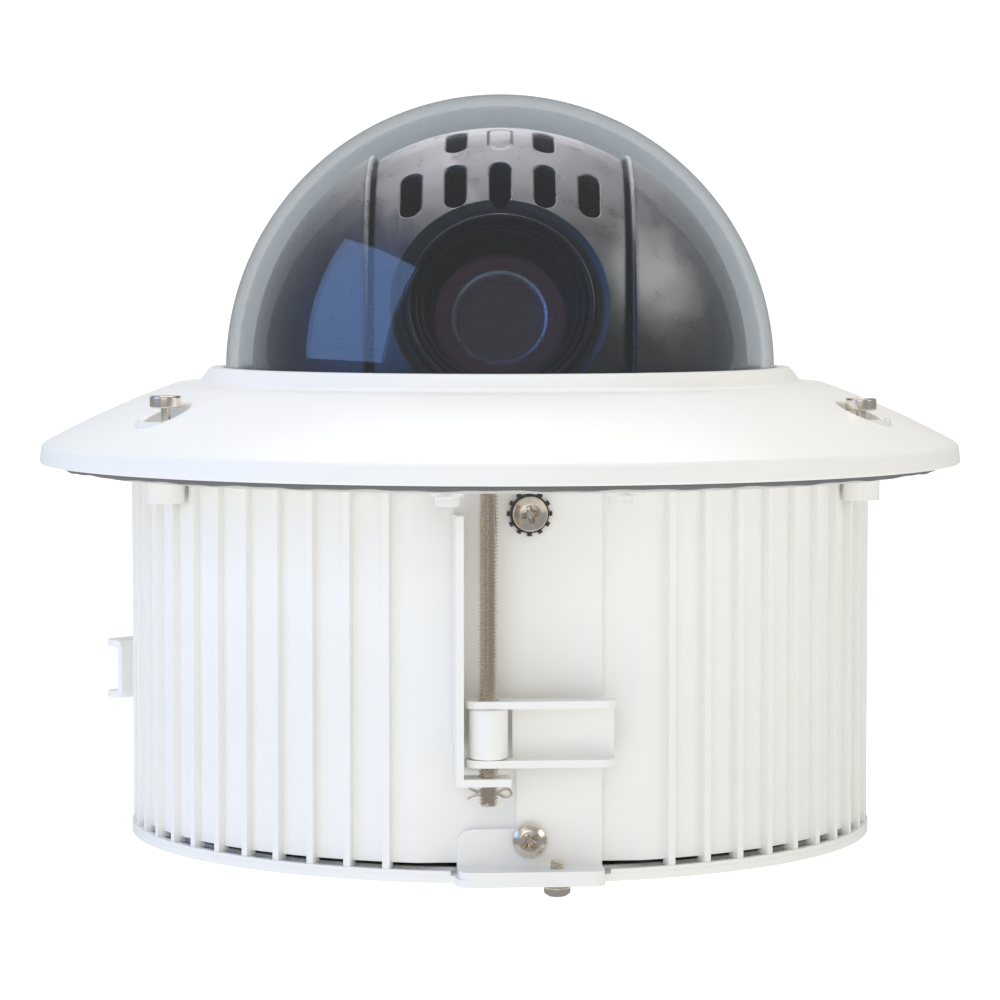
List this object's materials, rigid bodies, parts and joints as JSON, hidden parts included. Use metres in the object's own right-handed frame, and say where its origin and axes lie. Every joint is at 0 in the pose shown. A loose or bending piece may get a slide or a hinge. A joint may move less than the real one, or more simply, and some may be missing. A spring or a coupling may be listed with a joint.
{
  "type": "recessed ptz dome camera",
  "caption": "Recessed ceiling dome camera: ribbed housing with swing-out clamps, conical trim ring, smoked dome and a pan, tilt and zoom gimbal.",
  "frame": {"origin": "centre of the trim ring's footprint, level with the base screw heads that the part stands on", "axes": "+Z from the base plate to the dome (down into the room when installed), -Y the way the lens faces"},
  "size_m": [0.2, 0.2, 0.1623],
  "materials": {
    "white_paint": "fine satin powder coat",
    "plated_steel": "bright nickel plate",
    "dark_steel": "dull zinc",
    "sheet_steel": "bare zinc-coated sheet",
    "black_rubber": "matt",
    "smoked_dome": "clear smoked polycarbonate",
    "black_gloss": "semi-gloss moulded",
    "black_matt": "matt moulded",
    "nylon": "natural moulded",
    "brass": "turned",
    "circuit_board": "solder mask",
    "terminal_green": "moulded",
    "lens_metal": "black anodised",
    "lens_glass": "coated optical glass",
    "filter_glass": "coated filter glass"
  },
  "bodies": {
    "housing": {"housing_shell": "white_paint", "base_plate": "white_paint", "base_screws": "plated_steel", "base_washers": "plated_steel", "cable_grommet": "black_rubber", "clamp_bracket_1": "white_paint", "clamp_bracket_2": "white_paint", "clamp_bracket_3": "white_paint", "bracket_screws": "plated_steel", "lock_washers": "dark_steel", "chassis_plate": "sheet_steel", "chassis_posts": "sheet_steel", "main_board": "circuit_board", "terminal_blocks": "terminal_green", "pan_bearing_outer": "sheet_steel", "slip_ring_stator": "black_matt", "pan_motor": "sheet_steel"},
    "cover": {"trim_ring": "white_paint", "ceiling_gasket": "black_rubber", "dome_bubble": "smoked_dome", "dome_seal": "black_rubber", "dome_retainer": "sheet_steel", "retainer_screws": "plated_steel"},
    "pan": {"turntable": "black_matt", "pan_gear": "nylon", "pan_bearing_inner": "sheet_steel", "slip_ring_rotor": "brass", "yoke_left": "black_matt", "yoke_right": "black_matt", "tilt_bushes": "brass", "pan_cover": "black_gloss", "tilt_motor": "sheet_steel"},
    "pan_drive": {"pan_pinion": "brass"},
    "tilt": {"tilt_shafts": "sheet_steel", "tilt_gear": "nylon", "tilt_cover": "black_gloss", "camera_body": "black_matt", "sensor_board": "circuit_board", "lens_barrel": "lens_metal", "lens_bezel": "lens_metal", "front_glass": "lens_glass"},
    "tilt_drive": {"tilt_pinion": "brass"},
    "zoom": {"zoom_group": "lens_metal"},
    "focus": {"focus_group": "lens_metal"},
    "filter": {"ir_filter": "filter_glass"},
    "captive_screw_1": {"trim_screw_1": "plated_steel"},
    "rod_1": {"clamp_rod_1": "plated_steel", "cotter_pin_1": "plated_steel"},
    "nut_1": {"clamp_nut_1": "plated_steel"},
    "arm_1": {"clamp_arm_1": "white_paint"},
    "captive_screw_2": {"trim_screw_2": "plated_steel"},
    "rod_2": {"clamp_rod_2": "plated_steel", "cotter_pin_2": "plated_steel"},
    "nut_2": {"clamp_nut_2": "plated_steel"},
    "arm_2": {"clamp_arm_2": "white_paint"},
    "captive_screw_3": {"trim_screw_3": "plated_steel"},
    "rod_3": {"clamp_rod_3": "plated_steel", "cotter_pin_3": "plated_steel"},
    "nut_3": {"clamp_nut_3": "plated_steel"},
    "arm_3": {"clamp_arm_3": "white_paint"}
  },
  "joints": [
    {"name": "cover_lift", "type": "slide", "parent": "housing", "child": "cover", "axis": [0, 0, 1], "range_m": [0, 0.08]},
    {"name": "captive_screw_1", "type": "slide", "parent": "cover", "child": "captive_screw_1", "axis": [0, 0, 1], "range_m": [-0.0031, 0.001]},
    {"name": "rod_spin_1", "type": "hinge", "parent": "housing", "child": "rod_1", "pos_m": [-0.00231, -0.08344, 0.05], "axis": [0, 0, -1], "range_deg": [-20, 16477.14]},
    {"name": "nut_lift_1", "type": "slide", "parent": "housing", "child": "nut_1", "axis": [0, 0, 1], "range_m": [0, 0.032]},
    {"name": "arm_swing_1", "type": "hinge", "parent": "nut_1", "child": "arm_1", "pos_m": [-0.00231, -0.08344, 0.033], "axis": [0, 0, -1], "range_deg": [0, 90]},
    {"name": "captive_screw_2", "type": "slide", "parent": "cover", "child": "captive_screw_2", "axis": [0, 0, 1], "range_m": [-0.0035, 0.001]},
    {"name": "rod_spin_2", "type": "hinge", "parent": "housing", "child": "rod_2", "pos_m": [0.07342, 0.03972, 0.05], "axis": [0, 0, -1], "range_deg": [-20, 16477.14]},
    {"name": "nut_lift_2", "type": "slide", "parent": "housing", "child": "nut_2", "axis": [0, 0, 1], "range_m": [0, 0.032]},
    {"name": "arm_swing_2", "type": "hinge", "parent": "nut_2", "child": "arm_2", "pos_m": [0.07342, 0.03972, 0.033], "axis": [0, 0, -1], "range_deg": [0, 90]},
    {"name": "captive_screw_3", "type": "slide", "parent": "cover", "child": "captive_screw_3", "axis": [0, 0, 1], "range_m": [-0.004, 0.001]},
    {"name": "rod_spin_3", "type": "hinge", "parent": "housing", "child": "rod_3", "pos_m": [-0.0711, 0.04372, 0.05], "axis": [0, 0, -1], "range_deg": [-534.29, 15962.86]},
    {"name": "nut_lift_3", "type": "slide", "parent": "housing", "child": "nut_3", "axis": [0, 0, 1], "range_m": [-0.001, 0.031]},
    {"name": "arm_swing_3", "type": "hinge", "parent": "nut_3", "child": "arm_3", "pos_m": [-0.0711, 0.04372, 0.033], "axis": [0, 0, -1], "range_deg": [-17, 73]},
    {"name": "pan", "type": "hinge", "parent": "housing", "child": "pan", "pos_m": [0, 0, 0.1026], "axis": [0, 0, 1], "continuous": true},
    {"name": "pan_pinion", "type": "hinge", "parent": "housing", "child": "pan_drive", "pos_m": [0, 0.0585, 0.04], "axis": [0, 0, 1], "continuous": true},
    {"name": "tilt", "type": "hinge", "parent": "pan", "child": "tilt", "pos_m": [0, 0, 0.1026], "axis": [-1, 0, 0], "range_deg": [-17.5, 72.5]},
    {"name": "tilt_pinion", "type": "hinge", "parent": "pan", "child": "tilt_drive", "pos_m": [0.0335, 0, 0.0726], "axis": [-1, 0, 0], "range_deg": [-290.5, 70.5]},
    {"name": "zoom_slide", "type": "slide", "parent": "tilt", "child": "zoom", "axis": [0, -0.9537, 0.3007], "range_m": [-0.006, 0.016]},
    {"name": "focus_slide", "type": "slide", "parent": "tilt", "child": "focus", "axis": [0, -0.9537, 0.3007], "range_m": [-0.004, 0.008]},
    {"name": "filter_slide", "type": "slide", "parent": "tilt", "child": "filter", "axis": [1, 0, 0], "range_m": [0, 0.012]}
  ],
  "couplings": [
    {"joint": "rod_spin_1", "follows": "nut_lift_1", "rad_per_m": 8976},
    {"joint": "rod_spin_2", "follows": "nut_lift_2", "rad_per_m": 8976},
    {"joint": "rod_spin_3", "follows": "nut_lift_3", "rad_per_m": 8976},
    {"joint": "pan_pinion", "follows": "pan", "ratio": -5.5},
    {"joint": "tilt_pinion", "follows": "tilt", "ratio": -4}
  ]
}
